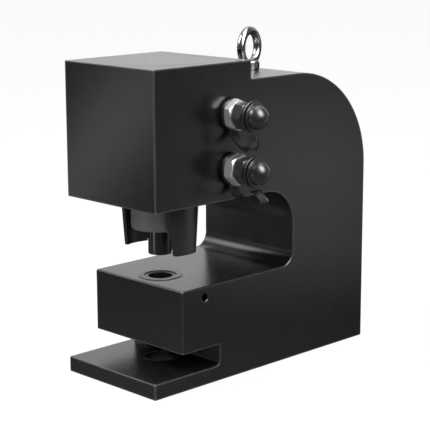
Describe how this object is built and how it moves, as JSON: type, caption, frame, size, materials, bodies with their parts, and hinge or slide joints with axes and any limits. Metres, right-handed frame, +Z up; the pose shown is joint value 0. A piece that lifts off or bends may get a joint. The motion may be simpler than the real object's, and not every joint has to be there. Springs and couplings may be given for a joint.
{
  "type": "hydraulic punching machine",
  "caption": "Portable hydraulic hole punch: solid steel C frame with a double-acting cylinder in its head, a ram with punch and stripper legs, a die in the jaw, capped hose couplers and a lifting eye.",
  "frame": {"origin": "on the punch axis, at the underside of the base plate, which is also the axis of the slug hole in the base", "axes": "+Z up along the punch axis, -Y towards the nose of the machine, +X towards the hose couplers"},
  "size_m": [0.1587, 0.2726, 0.3043],
  "materials": {
    "frame_black": "satin black coated steel, fine grain",
    "cap_black": "satin black steel with faint turning marks",
    "seal_rubber": "black nitrile rubber",
    "bush_bronze": "turned bronze",
    "ram_chrome": "ground and hard chromed",
    "guide_plastic": "brown fabric-filled guide strip",
    "nut_steel": "turned steel, phosphated grey",
    "punch_black": "hardened and blackened tool steel, ground",
    "die_steel": "blackened tool steel",
    "screw_black": "black oxide",
    "stripper_black": "satin black",
    "eyebolt_steel": "polished stainless steel",
    "washer_steel": "zinc plated",
    "adaptor_zinc": "bright zinc plated",
    "coupler_black": "black zinc-nickel plated steel",
    "valve_brass": "turned brass",
    "cap_rubber": "moulded black rubber, slightly glossy"
  },
  "bodies": {
    "machine": {"frame": "frame_black", "cylinder_cap": "cap_black", "cap_seal": "seal_rubber", "gland_bush": "bush_bronze", "rod_seal": "seal_rubber", "rod_wiper": "seal_rubber", "die": "die_steel", "die_set_screw": "screw_black", "stripper": "stripper_black", "stripper_screws": "screw_black", "eyebolt": "eyebolt_steel", "upper_port_washer": "washer_steel", "lower_port_washer": "washer_steel", "upper_adaptor": "adaptor_zinc", "lower_adaptor": "adaptor_zinc", "upper_coupler": "coupler_black", "lower_coupler": "coupler_black", "upper_valve_ring": "washer_steel", "lower_valve_ring": "washer_steel", "upper_tether": "cap_rubber", "lower_tether": "cap_rubber"},
    "ram_unit": {"ram": "ram_chrome", "piston_seal": "seal_rubber", "piston_guide_ring": "guide_plastic", "punch_nut": "nut_steel", "punch": "punch_black"},
    "upper_cap_unit": {"upper_dust_cap": "cap_rubber"},
    "lower_cap_unit": {"lower_dust_cap": "cap_rubber"},
    "upper_valve_unit": {"upper_valve": "valve_brass", "upper_valve_spring": "washer_steel"},
    "lower_valve_unit": {"lower_valve": "valve_brass", "lower_valve_spring": "washer_steel"}
  },
  "joints": [
    {"name": "ram_slide", "type": "slide", "parent": "machine", "child": "ram_unit", "axis": [0, 0, -1], "range_m": [0, 0.028]},
    {"name": "upper_cap_pull", "type": "slide", "parent": "machine", "child": "upper_cap_unit", "axis": [1, 0, 0], "range_m": [0, 0.01]},
    {"name": "lower_cap_pull", "type": "slide", "parent": "machine", "child": "lower_cap_unit", "axis": [1, 0, 0], "range_m": [0, 0.01]},
    {"name": "upper_valve_press", "type": "slide", "parent": "machine", "child": "upper_valve_unit", "axis": [-1, 0, 0], "range_m": [0, 0.0022], "stiffness_N_per_m": 500},
    {"name": "lower_valve_press", "type": "slide", "parent": "machine", "child": "lower_valve_unit", "axis": [-1, 0, 0], "range_m": [0, 0.0022], "stiffness_N_per_m": 500}
  ]
}
